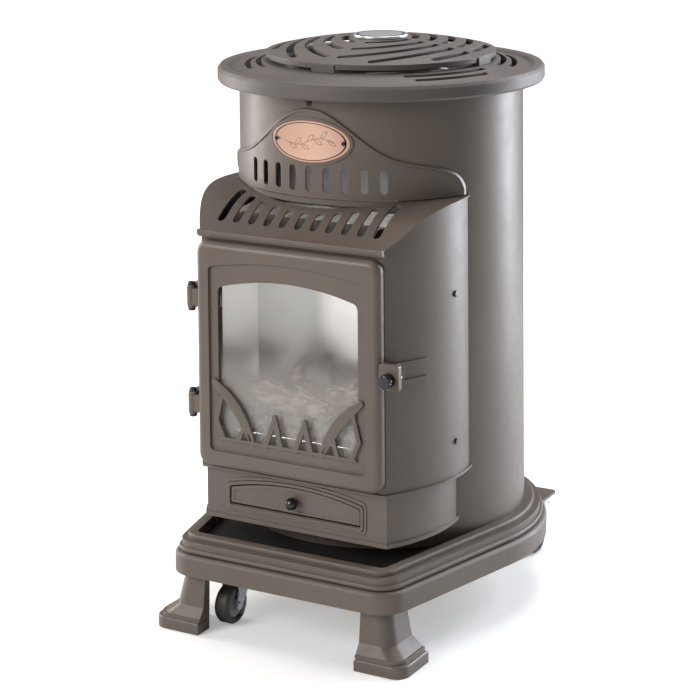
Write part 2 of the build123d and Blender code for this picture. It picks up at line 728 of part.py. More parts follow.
def log_piece(start, end, radius, taper):
    """A fire-clay log: a tapered many-sided billet."""
    path = Line(start, end)
    ends = []
    for point, r in ((start, radius), (end, radius * taper)):
        ends.append(Plane(origin=point, z_dir=path % 0) * RegularPolygon(r, 9))
    return loft(ends)


def log_front():
    """Main log lying across the front of the bed."""
    return log_piece((-72, -199, 302), (34, -205, 291), 15, 0.9) - block(-120, 120, -260, -120, 200, 281)


def log_left():
    """Short log seen end on, at the left."""
    return log_piece((-88, -186, 305), (-84, -136, 288), 12, 0.9) - block(-120, 120, -260, -140, 200, 280)


def log_back():
    """Log leaning up behind the main log."""
    return log_piece((-40, -167, 329), (-22, -158, 290), 11, 1.0) - block(-120, 120, -260, -140, 200, 280)


def log_right():
    """Forked log at the right of the bed."""
    trunk = log_piece((12, -168, 301), (88, -182, 309), 13, 0.85)
    branch = log_piece((36, -172, 302), (58, -158, 328), 9, 0.7)
    return trunk + branch - block(-120, 120, -260, -140, 200, 281)


# Gas ------------------------------------------------------------------------
def pilot_assembly():
    """Pilot burner with its thermocouple and spark electrode, at the bed's side."""
    bracket = block(99, 101, -215, -185, 231, 262)
    body = rod((103.2, -208, 236), (103.2, -208, 268), 3)
    probe = rod((103.2, -200, 236), (103.2, -200, 274), 2)
    electrode = rod((103.2, -192, 236), (103.2, -192, 272), 1.5)
    foot = block(99, 106.2, -215, -185, 231, 237)
    return fuse([bracket, foot, body, probe, electrode]) & block(90, 106.6, -230, -170, 225, 280)


CONTROL_X = 42.0
CONTROL_Z = 180.0


def gas_valve():
    """Gas control body behind the flap."""
    half = 18
    body = block(-CONTROL_X - 20, -CONTROL_X + 20, -208, -172, CONTROL_Z - half, CONTROL_Z + half)
    body = fillet(body.edges().filter_by(Axis.Z), 4)
    neck = rod((-CONTROL_X, -216, CONTROL_Z), (-CONTROL_X, -207, CONTROL_Z), 9)
    outlet = rod((-CONTROL_X, -190, CONTROL_Z + 17), (-CONTROL_X, -190, 204), 4)
    bore = rod((-CONTROL_X, -218, CONTROL_Z), (-CONTROL_X, -196, CONTROL_Z), 3 + RUN)
    return fuse([body, neck, outlet]) - bore


def control_knob():
    """Fluted control knob with its shaft."""
    knob = rod((-CONTROL_X, -230, CONTROL_Z), (-CONTROL_X, -219.5, CONTROL_Z), 12)
    knob = fillet(knob.edges().sort_by(Axis.Y)[:1], 2)
    for k in range(10):
        angle = math.radians(36 * k)
        x = -CONTROL_X + 12.8 * math.cos(angle)
        z = CONTROL_Z + 12.8 * math.sin(angle)
        knob -= rod((x, -232, z), (x, -221, z), 2)
    return knob + rod((-CONTROL_X, -222, CONTROL_Z), (-CONTROL_X, -197, CONTROL_Z), 3)


def control_fascia():
    """Bent steel plate that carries the valve and the igniter."""
    plate = block(-92, 92, -218.5, -217, 144, 202)
    plate += block(-92, 92, -218.5, -196, 142.3, 144)
    for x, radius in ((-CONTROL_X, 9 + GAP), (CONTROL_X, 8 + GAP)):
        plate -= rod((x, -222, CONTROL_Z), (x, -214, CONTROL_Z), radius)
    return plate


def piezo_igniter():
    """Piezo igniter barrel."""
    barrel = rod((CONTROL_X, -220, CONTROL_Z), (CONTROL_X, -170, CONTROL_Z), 8)
    flange = rod((CONTROL_X, -220.5, CONTROL_Z), (CONTROL_X, -218.6, CONTROL_Z), 10)
    bore = rod((CONTROL_X, -222, CONTROL_Z), (CONTROL_X, -190, CONTROL_Z), 5.5 + RUN)
    return barrel + flange - bore


def igniter_button():
    """Push button of the igniter."""
    stem = rod((CONTROL_X, -228, CONTROL_Z), (CONTROL_X, -198, CONTROL_Z), 5.5)
    return fillet(stem.edges().sort_by(Axis.Y)[:1], 1.2)


BOTTLE_Y = 48.0
BOTTLE_R = 126.0


def bottle_half(wall):
    """Half cross-section of the bottle, shrunk by a wall thickness."""
    side = BOTTLE_R - wall
    low, high = 128 + wall, 562 - wall
    neck = 14 - wall
    points = [(0, low), (60, low - 4 + wall / 2), (110 - wall, low + 6), (side, 152), (side, 500),
              (108 - wall, 532 - wall), (60, 556 - wall), (neck, high), (neck, 596), (0, 596)]
    return make_face(Polyline(points, close=True))


def gas_bottle():
    """Steel gas bottle with a foot ring, a shroud and an open valve neck."""
    body = revolve(Plane.XZ * (bottle_half(0) - bottle_half(3)), Axis.Z)
    foot = prism(Circle(100) - Circle(97), DECK_Z + 0.2, 136)
    shroud = prism(Circle(70) - Circle(67), 545, 590) - block(-40, 40, -80, -20, 560, 600)
    return Pos(0, BOTTLE_Y, 0) * fuse([body, foot, shroud])


def regulator():
    """Clip-on regulator over the bottle's valve."""
    cup = prism(Circle(22) - Circle(14 + GAP), 574, 597)
    dome = prism(Circle(30), 596.3, 620)
    dome = fillet(dome.edges().group_by(Axis.Z)[-1], 6)
    nozzle = rod((20, 0, 608), (62, 0, 608), 7)
    post = prism(Circle(5), 619, 628)
    return Pos(0, BOTTLE_Y, 0) * fuse([cup, dome, nozzle, post])


def regulator_lever():
    """Turn lever on top of the regulator."""
    hub = prism(Circle(11), 620.3, 627) - prism(Circle(5 + RUN), 600, 640)
    arm = block(6, 40, -5, 5, 621, 626) - prism(Circle(5 + RUN), 600, 640)
    return Pos(0, BOTTLE_Y, 0) * (hub + arm)


def gas_hose():
    """Rubber hose from the regulator down beside the bottle to the valve."""
    side_x = 158
    path = Spline([
        (64, BOTTLE_Y, 608), (74, BOTTLE_Y, 608), (112, BOTTLE_Y, 598), (side_x - 8, BOTTLE_Y, 545),
        (side_x, BOTTLE_Y, 450), (side_x, BOTTLE_Y, 300), (side_x - 4, 35, 190), (135, -15, 138),
        (95, -70, 125), (40, -110, 126), (-10, -128, 142), (-36, -142, 168),
        (-CONTROL_X, -158, CONTROL_Z), (-CONTROL_X, -167, CONTROL_Z)])
    return sweep(Plane(origin=path @ 0, z_dir=path % 0) * Circle(6.5), path)


# Output ---------------------------------------------------------------------
def single_nodes():
    """Every node that is built in place."""
    makers = [
        plinth, rear_castor_brackets, castor_plates, drum_casing, rear_cover, crown_plate, lid_grille,
        lid_badge, collar, oval_badge, badge_rivets, canopy, cabinet_casing, front_frame, lower_body,
        control_flap, flap_knob, door_frame, glass_seal, door_glass, glass_clips, gallery, hinge_brackets,
        hinge_pins, latch_knob, latch_cam, latch_keeper, casing_screws, reflector, heat_shield, burner,
        ember_bed, log_front, log_left, log_back, log_right, pilot_assembly, gas_valve, control_knob,
        control_fascia, piezo_igniter, igniter_button, gas_bottle, regulator, regulator_lever, gas_hose,
    ]
    return {maker.__name__: maker() for maker in makers}


def build():
    """All nodes of the heater by name."""
    nodes = single_nodes()
    right_leg = leg()
    nodes["leg_right"] = right_leg
    nodes["leg_left"] = mirror(right_leg, Plane.YZ)
    castor = {"fork": castor_fork(), "axle": castor_axle(), "wheel": castor_wheel()}
    for place, x, y, turn in castor_sites():
        for piece, solid in castor.items():
            nodes[f"castor_{piece}_{place}"] = Pos(x, y, 0) * Rot(0, 0, turn) * solid
    return nodes


os.makedirs("parts", exist_ok=True)
for name, shape in build().items():
    moved = group([Pos(0, ORIGIN_SHIFT, 0) * solid for solid in shape.solids()])
    export_step(moved, f"parts/{name}.step")
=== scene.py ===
import json
import math
import bmesh
import bpy
from mathutils import Matrix, Vector, noise


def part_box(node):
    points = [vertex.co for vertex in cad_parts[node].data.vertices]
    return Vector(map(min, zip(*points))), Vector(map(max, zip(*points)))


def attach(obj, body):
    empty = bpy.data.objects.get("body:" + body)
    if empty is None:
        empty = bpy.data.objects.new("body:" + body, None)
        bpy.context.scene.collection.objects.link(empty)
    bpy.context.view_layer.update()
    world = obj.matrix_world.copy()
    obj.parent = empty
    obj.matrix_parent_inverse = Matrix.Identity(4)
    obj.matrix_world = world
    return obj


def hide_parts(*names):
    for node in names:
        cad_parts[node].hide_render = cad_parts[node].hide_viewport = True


# Looks of a stove-style cabinet heater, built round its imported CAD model.
# Everything is in metres, in the frame of the model: +Z up, -Y is the door side.
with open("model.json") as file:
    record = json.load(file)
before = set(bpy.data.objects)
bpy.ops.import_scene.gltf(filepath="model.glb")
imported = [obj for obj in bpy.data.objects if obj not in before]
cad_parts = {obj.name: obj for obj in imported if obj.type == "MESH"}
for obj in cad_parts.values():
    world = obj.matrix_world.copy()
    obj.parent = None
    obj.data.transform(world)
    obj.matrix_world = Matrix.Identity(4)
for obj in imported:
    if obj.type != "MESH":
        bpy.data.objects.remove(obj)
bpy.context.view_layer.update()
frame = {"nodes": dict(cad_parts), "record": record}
NODES = frame["nodes"]
MM = 0.001
DRUM_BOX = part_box("drum_casing")
AXIS = Vector((0, (DRUM_BOX[0].y + DRUM_BOX[1].y) / 2, 0))
HUB_RADIUS = 16 * MM
SHARP_ANGLE = 28

# Camera: a lens shifted down, so that upright edges stay nearly upright.
CAMERA_PLACE = Vector((1.4376, -2.5757, 1.1406))
CAMERA_YAW = math.radians(29.638)
CAMERA_PITCH = math.radians(4.599)
CAMERA_ROLL = math.radians(-0.512)
SENSOR = 36.0
LENS = 114.6
LENS_SHIFT = -0.6098

# Colours, as linear values.
TAUPE = (0.118, 0.094, 0.077)
TAUPE_LIGHT = (0.215, 0.178, 0.150)
CAST_TAUPE = (0.094, 0.080, 0.074)
# Painted shade: near-black for the plinth's sunk deck.
SUNK_DECK_SHADE = (0.018, 0.017, 0.016)
BLACK = (0.012, 0.012, 0.013)
STEEL = (0.62, 0.62, 0.63)
MIRROR = (0.93, 0.92, 0.90)
COPPER = (0.93, 0.60, 0.46)
WHITE_METAL = (0.88, 0.89, 0.90)


# Meshes ---------------------------------------------------------------------
def smooth(obj, angle):
    """Rounds the shading of a faceted mesh and keeps edges sharper than the angle."""
    mesh = obj.data
    normals = mesh.attributes.get("custom_normal")
    if normals:
        mesh.attributes.remove(normals)
    mesh.polygons.foreach_set("use_smooth", [True] * len(mesh.polygons))
    weld = obj.modifiers.new("weld", "WELD")
    weld.merge_threshold = 0.002 * MM
    split = obj.modifiers.new("sharp_edges", "EDGE_SPLIT")
    split.split_angle = math.radians(angle)


def new_piece(name, mesh, body):
    """An object of the given mesh that rides on a body."""
    piece = bpy.data.objects.new(name, mesh)
    bpy.context.scene.collection.objects.link(piece)
    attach(piece, body)
    return piece


def tube(points, outward, radius, flatness, sides):
    """A mesh bar swept along points; outward gives the side it is flattened on."""
    mesh = bmesh.new()
    rings = []
    last = len(points) - 1
    for i, point in enumerate(points):
        run = (points[min(i + 1, last)] - points[max(i - 1, 0)]).normalized()
        across = run.cross(outward[i]).normalized()
        out = across.cross(run).normalized()
        ring = []
        for k in range(sides):
            turn = 2 * math.pi * k / sides
            offset = across * math.cos(turn) * radius + out * math.sin(turn) * radius * flatness
            ring.append(mesh.verts.new(point + offset))
        rings.append(ring)
    for first, second in zip(rings, rings[1:]):
        for k in range(sides):
            n = (k + 1) % sides
            mesh.faces.new((first[k], first[n], second[n], second[k]))
    mesh.faces.new(list(reversed(rings[0])))
    mesh.faces.new(rings[-1])
    bmesh.ops.recalc_face_normals(mesh, faces=mesh.faces)
    data = bpy.data.meshes.new("tube")
    mesh.to_mesh(data)
    mesh.free()
    for face in data.polygons:
        face.use_smooth = True
    return data


def off_axis(place):
    """The part of a place that lies across the drum's axis."""
    return Vector((place.x - AXIS.x, place.y - AXIS.y))


def remeshed(node, voxel):
    """A copy of a CAD node's mesh, rebuilt as even small faces."""
    copy = bpy.data.objects.new("remesh", NODES[node].data.copy())
    bpy.context.scene.collection.objects.link(copy)
    rebuild = copy.modifiers.new("even", "REMESH")
    rebuild.mode = "VOXEL"
    rebuild.voxel_size = voxel
    graph = bpy.context.evaluated_depsgraph_get()
    mesh = bpy.data.meshes.new_from_object(copy.evaluated_get(graph))
    bpy.data.objects.remove(copy)
    return mesh


def carve(mesh, depth_at):
    """Moves each vertex along its normal by depth_at(place, normal)."""
    moves = [depth_at(v.co.copy(), v.normal.copy()) for v in mesh.vertices]
    for vertex, move in zip(mesh.vertices, moves):
        vertex.co = vertex.co + move
    for face in mesh.polygons:
        face.use_smooth = True


# Node materials -------------------------------------------------------------
class Finish:
    """A procedural material, with short forms for the nodes it is made of."""

    def __init__(self, name):
        self.material = bpy.data.materials.new(name)
        self.material.use_nodes = True
        self.tree = self.material.node_tree
        self.surface = self.tree.nodes["Principled BSDF"]
        self.place = self.node("ShaderNodeTexCoord").outputs["Object"]

    def node(self, kind, **values):
        made = self.tree.nodes.new(kind)
        for name, value in values.items():
            setattr(made, name, value)
        return made

    def feed(self, socket, value):
        if isinstance(value, bpy.types.NodeSocket):
            self.tree.links.new(value, socket)
        elif isinstance(value, tuple) and len(value) == 3 and socket.type == "RGBA":
            socket.default_value = (*value, 1)
        else:
            socket.default_value = value

    def set(self, **inputs):
        for name, value in inputs.items():
            self.feed(self.surface.inputs[name.replace("_", " ")], value)
        return self

    def calc(self, operation, *values):
        made = self.node("ShaderNodeMath", operation=operation)
        for socket, value in zip(made.inputs, values):
            self.feed(socket, value)
        return made.outputs[0]

    def step(self, value, low, high):
        """0 below low, 1 above high, smooth between; low may be above high."""
        made = self.node("ShaderNodeMapRange", interpolation_type="SMOOTHSTEP")
        low_out, high_out = (0, 1) if low < high else (1, 0)
        self.feed(made.inputs[0], value)
        made.inputs[1].default_value = min(low, high)
        made.inputs[2].default_value = max(low, high)
        made.inputs[3].default_value = low_out
        made.inputs[4].default_value = high_out
        return made.outputs[0]

    def mix(self, factor, first, second):
        made = self.node("ShaderNodeMix", data_type="RGBA")
        self.feed(made.inputs[0], factor)
        self.feed(made.inputs[6], first)
        self.feed(made.inputs[7], second)
        return made.outputs[2]

    def grow(self, stretch):
        made = self.node("ShaderNodeMapping")
        self.feed(made.inputs[0], self.place)
        made.inputs["Scale"].default_value = stretch
        return made.outputs[0]

    def noise(self, scale, detail=3.0, stretch=(1, 1, 1)):
        made = self.node("ShaderNodeTexNoise")
        self.feed(made.inputs["Vector"], self.grow(stretch))
        made.inputs["Scale"].default_value = scale
        made.inputs["Detail"].default_value = detail
        return made.outputs[0]

    def cells(self, scale):
        made = self.node("ShaderNodeTexVoronoi")
        self.feed(made.inputs["Vector"], self.place)
        made.inputs["Scale"].default_value = scale
        return made.outputs[0]

    def axis(self, index):
        made = self.node("ShaderNodeSeparateXYZ")
        self.feed(made.inputs[0], self.place)
        return made.outputs[index]

    def distance(self, centre, scale=(1, 1, 1)):
        """Distance from a point, with each axis scaled first."""
        shifted = self.node("ShaderNodeVectorMath", operation="SUBTRACT")
        self.feed(shifted.inputs[0], self.place)
        shifted.inputs[1].default_value = centre
        scaled = self.node("ShaderNodeVectorMath", operation="MULTIPLY")
        self.feed(scaled.inputs[0], shifted.outputs[0])
        scaled.inputs[1].default_value = scale
        length = self.node("ShaderNodeVectorMath", operation="LENGTH")
        self.feed(length.inputs[0], scaled.outputs[0])
        return length.outputs["Value"]

    def edges(self, radius):
        """1 along sharp edges and 0 on open faces."""
        rounded = self.node("ShaderNodeBevel", samples=4)
        rounded.inputs["Radius"].default_value = radius
        shape = self.node("ShaderNodeNewGeometry")
        dot = self.node("ShaderNodeVectorMath", operation="DOT_PRODUCT")
        self.feed(dot.inputs[0], rounded.outputs[0])
        self.feed(dot.inputs[1], shape.outputs["Normal"])
        return self.step(dot.outputs["Value"], 0.999, 0.80)

    def upward(self):
        """The upward part of the surface normal."""
        shape = self.node("ShaderNodeNewGeometry")
        parts = self.node("ShaderNodeSeparateXYZ")
        self.feed(parts.inputs[0], shape.outputs["Normal"])
        return parts.outputs[2]

    def relief(self, height, depth, radius=0.0):
        """A bump from a height, over edges softened by a radius."""
        bump = self.node("ShaderNodeBump")
        self.feed(bump.inputs["Height"], height)
        bump.inputs["Distance"].default_value = depth
        if radius:
            rounded = self.node("ShaderNodeBevel", samples=4)
            rounded.inputs["Radius"].default_value = radius
            self.feed(bump.inputs["Normal"], rounded.outputs[0])
        self.feed(self.surface.inputs["Normal"], bump.outputs[0])
        return self


def stove_paint(name, colour, light, grain_scale, grain_depth, rough):
    """Satin powder paint: fine grain, faint cloudy tone, rubbed edges."""
    paint = Finish(name)
    cloud = paint.step(paint.noise(7.0, 4.0), 0.35, 0.7)
    dust = paint.step(paint.noise(60.0, 5.0), 0.4, 0.75)
    tone = paint.mix(paint.calc("MULTIPLY", cloud, 0.16), colour, light)
    worn = paint.calc("MULTIPLY", paint.edges(1.3 * MM), 0.8)
    tone = paint.mix(worn, tone, light)
    roughness = paint.calc("MULTIPLY_ADD", dust, 0.07, rough)
    paint.set(Base_Color=tone, Roughness=roughness, Specular_IOR_Level=0.5)
    grain = paint.calc("ADD", paint.noise(grain_scale, 2.0), paint.noise(grain_scale * 0.3, 2.0))
    return paint.relief(grain, grain_depth, 0.9 * MM)


def plinth_paint():
    """Cast plinth paint, with painted shade: near-black over the sunk deck."""
    paint = stove_paint("cast_plinth_paint", TAUPE, TAUPE_LIGHT, 1500, 0.10 * MM, 0.50)
    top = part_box("plinth")[1].z
    flat = paint.step(paint.upward(), 0.9, 0.99)
    low = paint.step(paint.axis(2), top - 9 * MM, top - 11 * MM)
    high = paint.step(paint.axis(2), top - 14 * MM, top - 12.5 * MM)
    # Painted shade: the flat floor of the sunk deck, 9 to 14 mm below the plinth's top, is turned
    # near-black.
    deck_shade = paint.calc("MULTIPLY", paint.calc("MULTIPLY", low, high), flat)
    tone = paint.surface.inputs["Base Color"].links[0].from_socket
    return paint.set(Base_Color=paint.mix(deck_shade, tone, SUNK_DECK_SHADE))


def brushed(name, colour, stretch, rough, grain=260.0, depth=0.01 * MM):
    """Metal with fine streaks: stretch is small along the streaks."""
    metal = Finish(name)
    streak = metal.noise(grain, 3.0, stretch)
    smear = metal.noise(9.0, 3.0)
    shade = metal.calc("MULTIPLY_ADD", streak, 0.25, metal.calc("MULTIPLY", smear, 0.18))
    roughness = metal.calc("MULTIPLY_ADD", shade, 0.25, rough)
    tone = metal.mix(metal.calc("MULTIPLY", shade, 0.5), colour, tuple(0.72 * c for c in colour))
    metal.set(Base_Color=tone, Metallic=1.0, Roughness=roughness)
    return metal.relief(streak, depth, 0.4 * MM)


def zinc_plate():
    """Zinc plating: mottled, slightly blue."""
    metal = brushed("zinc_plating", (0.60, 0.61, 0.64), (1, 1, 1), 0.28)
    spangle = metal.step(metal.cells(420.0), 0.2, 0.8)
    return metal.set(Roughness=metal.calc("MULTIPLY_ADD", spangle, 0.2, 0.25))


def copper_plate():
    """Brushed copper with a dark line round its rim."""
    low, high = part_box("oval_badge")
    half_x = (high.x - low.x) / 2
    half_z = (high.z - low.z) / 2
    metal = brushed("brushed_copper", COPPER, (0.03, 1, 1), 0.24, 900.0)
    oval = metal.distance((0, 0, (high.z + low.z) / 2), (1 / half_x, 0, 1 / half_z))
    line = metal.calc("MULTIPLY", metal.step(oval, 0.885, 0.90), metal.step(oval, 0.94, 0.925))
    tone = metal.surface.inputs["Base Color"].links[0].from_socket
    return metal.set(Base_Color=metal.mix(line, tone, (0.10, 0.04, 0.025)))


def lid_plate():
    """Bright turned plate with a dark ring."""
    low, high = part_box("lid_badge")
    metal = brushed("turned_plate", WHITE_METAL, (1, 1, 1), 0.25, 700.0)
    spread = metal.distance(AXIS, (1, 1, 0))
    line = metal.calc("MULTIPLY", metal.step(spread, 0.80 * high.x, 0.82 * high.x),
                      metal.step(spread, 0.90 * high.x, 0.88 * high.x))
    turned = metal.calc("SINE", metal.calc("MULTIPLY", spread, 9000.0))
    tone = metal.mix(line, WHITE_METAL, (0.09, 0.08, 0.08))
    return metal.set(Base_Color=tone).relief(turned, 0.02 * MM, 0.3 * MM)


def black_chrome():
    """Dark polished plating."""
    metal = Finish("black_chrome")
    smear = metal.noise(220.0, 3.0)
    metal.set(Base_Color=metal.mix(smear, (0.035, 0.035, 0.038), (0.07, 0.07, 0.075)), Metallic=0.85)
    metal.set(Roughness=metal.calc("MULTIPLY_ADD", smear, 0.15, 0.16))
    return metal.relief(smear, 0.02 * MM, 0.3 * MM)


def hazy_glass():
    """Clear pane, a little clouded over the fire."""
    pane = Finish("hazy_glass")
    low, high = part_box("door_glass")
    middle = low.z + 0.46 * (high.z - low.z)
    haze = pane.step(pane.axis(2), middle + 45 * MM, middle - 45 * MM)
    cloud = pane.noise(12.0, 4.0)
    cover = pane.calc("MULTIPLY_ADD", haze, 0.20, pane.calc("MULTIPLY_ADD", cloud, 0.05, 0.02))
    pane.set(Base_Color=(0.72, 0.68, 0.64), Roughness=0.12, Alpha=cover, Specular_IOR_Level=0.6)
    return pane


def rope():
    """Twisted glass-fibre rope."""
    cord = Finish("rope_seal_weave")
    wave = cord.node("ShaderNodeTexWave", bands_direction="DIAGONAL")
    cord.feed(wave.inputs["Vector"], cord.place)
    wave.inputs["Scale"].default_value = 160.0
    wave.inputs["Distortion"].default_value = 1.5
    tone = cord.mix(wave.outputs[1], (0.03, 0.03, 0.03), (0.10, 0.095, 0.09))
    cord.set(Base_Color=tone, Roughness=0.95)
    return cord.relief(wave.outputs[1], 0.3 * MM)


def fired_clay(name, pale, dark, stretch):
    """Bark-like fired clay: pale ridges over dark cracks."""
    clay = Finish(name)
    bark = clay.noise(150.0, 6.0, stretch)
    scorch = clay.step(clay.noise(26.0, 4.0), 0.42, 0.68)
    ridge = clay.step(bark, 0.38, 0.62)
    tone = clay.mix(ridge, dark, pale)
    tone = clay.mix(clay.calc("MULTIPLY", scorch, 0.45), tone, tuple(0.45 * c for c in dark))
    clay.set(Base_Color=tone, Roughness=0.93, Specular_IOR_Level=0.2)
    return clay.relief(bark, 0.8 * MM)


def castor_tyre():
    """Dark tyre round a grey hub, told apart by distance from each axle."""
    wheel = Finish("castor_tyre_and_hub")
    scuff = wheel.noise(320.0, 4.0)
    tread = wheel.mix(scuff, (0.020, 0.017, 0.015), (0.050, 0.043, 0.038))
    hub = None
    for node in sorted(NODES):
        if node.startswith("castor_wheel_"):
            low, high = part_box(node)
            spread = wheel.distance((low + high) / 2, (0, 1, 1))
            inside = wheel.step(spread, HUB_RADIUS + 0.5 * MM, HUB_RADIUS - 0.5 * MM)
            hub = inside if hub is None else wheel.calc("MAXIMUM", hub, inside)
    grey = wheel.mix(scuff, (0.20, 0.20, 0.21), (0.30, 0.30, 0.31))
    wheel.set(Base_Color=wheel.mix(hub, tread, grey))
    wheel.set(Roughness=wheel.calc("MULTIPLY_ADD", scuff, 0.25, 0.42))
    return wheel.relief(scuff, 0.06 * MM, 0.5 * MM)


def moulded(name, colour, rough, grain, depth):
    """Moulded plastic, rubber or enamel with a fine grain."""
    skin = Finish(name)
    speck = skin.noise(grain, 4.0)
    cloud = skin.noise(14.0, 3.0)
    tone = skin.mix(skin.calc("MULTIPLY", cloud, 0.35), colour, tuple(0.6 * c for c in colour))
    skin.set(Base_Color=tone, Roughness=skin.calc("MULTIPLY_ADD", speck, 0.18, rough))
    return skin.relief(speck, depth, 0.4 * MM)


def paint_slots():
    """The finish of each of the record's material slots."""
    return {
        "body_paint": stove_paint("satin_stove_paint", TAUPE, TAUPE_LIGHT, 2600, 0.035 * MM, 0.40),
        "cast_paint": stove_paint("cast_iron_paint", CAST_TAUPE, TAUPE_LIGHT, 1300, 0.16 * MM, 0.47),
        "polished_steel": brushed("polished_reflector", MIRROR, (1, 1, 0.02), 0.19, 500.0, 0.004 * MM),
        "plain_steel": brushed("plain_steel", STEEL, (0.05, 1, 1), 0.26),
        "copper": copper_plate(),
        "bright_plate": lid_plate(),
        "black_chrome": black_chrome(),
        "pane": hazy_glass(),
        "rope": rope(),
        "fireclay": fired_clay("fired_clay_bark", (0.36, 0.27, 0.23), (0.10, 0.07, 0.055), (0.35, 1, 1)),
        "embers": fired_clay("ember_clay", (0.24, 0.24, 0.235), (0.06, 0.06, 0.06), (1, 1, 0.3)),
        "hose_rubber": moulded("hose_rubber", (0.62, 0.22, 0.03), 0.5, 900.0, 0.05 * MM),
        "valve_brass": brushed("machined_brass", (0.72, 0.52, 0.22), (1, 0.05, 1), 0.25),
        "dark_plastic": moulded("dark_plastic", BLACK, 0.35, 1400.0, 0.04 * MM),
        "regulator_metal": moulded("cast_regulator", (0.45, 0.45, 0.46), 0.4, 1200.0, 0.1 * MM),
        "bottle_paint": moulded("bottle_enamel", (0.02, 0.10, 0.36), 0.25, 500.0, 0.05 * MM),
        "zinc": zinc_plate(),
        "wheel_rubber": castor_tyre(),
    }


def soften(obj, width):
    """Rounds over the sharp edges of a flat cast bar."""
    weld = obj.modifiers.new("join", "WELD")
    weld.merge_threshold = 0.01 * MM
    tidy = obj.modifiers.new("flat_faces", "DECIMATE")
    tidy.decimate_type = "DISSOLVE"
    tidy.angle_limit = math.radians(2)
    rounded = obj.modifiers.new("rounding", "BEVEL")
    rounded.width = width
    rounded.segments = 3
    rounded.limit_method = "ANGLE"
    rounded.angle_limit = math.radians(50)
    rounded.use_clamp_overlap = True


def finish_nodes(finishes):
    """Gives every CAD node its finish and smooth shading."""
    plinth = plinth_paint().material
    for entry in frame["record"]["subparts"]:
        node = NODES[entry["node"]]
        material = plinth if entry["node"] == "plinth" else finishes[entry["material_slot"]].material
        node.data.materials.clear()
        node.data.materials.append(material)
        if entry["node"] == "gallery":
            soften(node, 1.4 * MM)
        smooth(node, SHARP_ANGLE)


# Fire -----------------------------------------------------------------------
def bark_log(node, seed, finish):
    """A clay log with ridged bark, cut inwards from its plain CAD billet."""
    low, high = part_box(node)
    size = high - low
    along = Vector((size.x, 0.35 * size.y, 0.15 * size.z)).normalized()
    if size.y > size.x:
        along = Vector((0.1, -0.9, 0.35)).normalized()
    mesh = remeshed(node, 1.5 * MM)

    def depth(place, normal):
        run = place.dot(along)
        side = place - along * run
        spot = Vector((side.x * 260, side.y * 260, side.z * 260 + run * 45 + seed * 7.3))
        lumps = noise.noise(place * 42 + Vector((seed, 0, 0)))
        ridges = abs(noise.noise(spot))
        knots = noise.noise(place * 130 + Vector((0, seed, 0)))
        return normal * MM * (1.5 * lumps - 3.06 * (0.45 - ridges) + 0.7 * knots - 0.4)

    carve(mesh, depth)
    piece = new_piece(node + "_bark", mesh, "base")
    mesh.materials.clear()
    mesh.materials.append(finish)
    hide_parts(node)
    return piece


def ember_bed(finish):
    """The ember bed: broken, ribbed clay instead of the plain CAD wedge."""
    mesh = remeshed("ember_bed", 1.7 * MM)
    rib_pitch = 7.3 * MM
    worked_level = 0.240

    def depth(place, normal):
        rib = math.sin(place.x * 2 * math.pi / rib_pitch + 2.2 * noise.noise(place * 60))
        chunk = noise.noise(Vector((place.x * 120, place.y * 120, place.z * 75)))
        crumb = noise.noise(place * 380)
        facing = 1.0 if place.z > worked_level else 0.2
        return normal * MM * facing * (0.9 * rib + 2.2 * chunk + 0.8 * crumb - 2.0)

    carve(mesh, depth)
    piece = new_piece("ember_bed_clay", mesh, "base")
    mesh.materials.clear()
    mesh.materials.append(finish)
    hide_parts("ember_bed")
    return piece


def end_grain(clay):
    """Warm growth rings, for the log that is seen end on."""
    low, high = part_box("log_left")
    rings = clay.distance(((low.x + high.x) / 2, low.y, (low.z + high.z) / 2 + 4 * MM), (1, 0.15, 1))
    wave = clay.calc("SINE", clay.calc("MULTIPLY", rings, 2600.0))
    warm = clay.mix(clay.step(wave, -0.6, 0.8), (0.60, 0.36, 0.22), (0.85, 0.62, 0.44))
    front = clay.step(clay.axis(1), low.y + 5 * MM, low.y + 2.5 * MM)
    tone = clay.surface.inputs["Base Color"].links[0].from_socket
    return clay.set(Base_Color=clay.mix(front, tone, warm))


def fire(finishes):
    """Logs and embers."""
    bark = finishes["fireclay"].material
    for seed, node in enumerate(("log_front", "log_back", "log_right")):
        bark_log(node, seed + 1, bark)
    warm = fired_clay("fired_clay_end_grain", (0.50, 0.38, 0.32), (0.20, 0.14, 0.11), (1, 0.35, 1))
    bark_log("log_left", 5, end_grain(warm).material)
    ember_bed(finishes["embers"].material)


def guard_wire(finishes):
    """Bright wire across the foot of the fire, behind the gallery."""
    low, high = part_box("door_glass")
    bed_low, bed_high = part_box("ember_bed")
    z = low.z + 14 * MM
    y = bed_low.y - 5 * MM
    count = 40
    points = []
    for k in range(count + 1):
        x = bed_low.x + (bed_high.x - bed_low.x) * k / count
        points.append(Vector((x, y, z)))
    mesh = tube(points, [Vector((0, -1, 0))] * len(points), 2.0 * MM, 1.0, 12)
    mesh.materials.append(finishes["polished_steel"].material)
    return new_piece("guard_wire", mesh, "base")


# Collar ---------------------------------------------------------------------
def on_drum(x, z, radius):
    """A point on a round surface about the drum's axis, on the door side."""
    return AXIS + Vector((x, -math.sqrt(radius * radius - x * x), z))


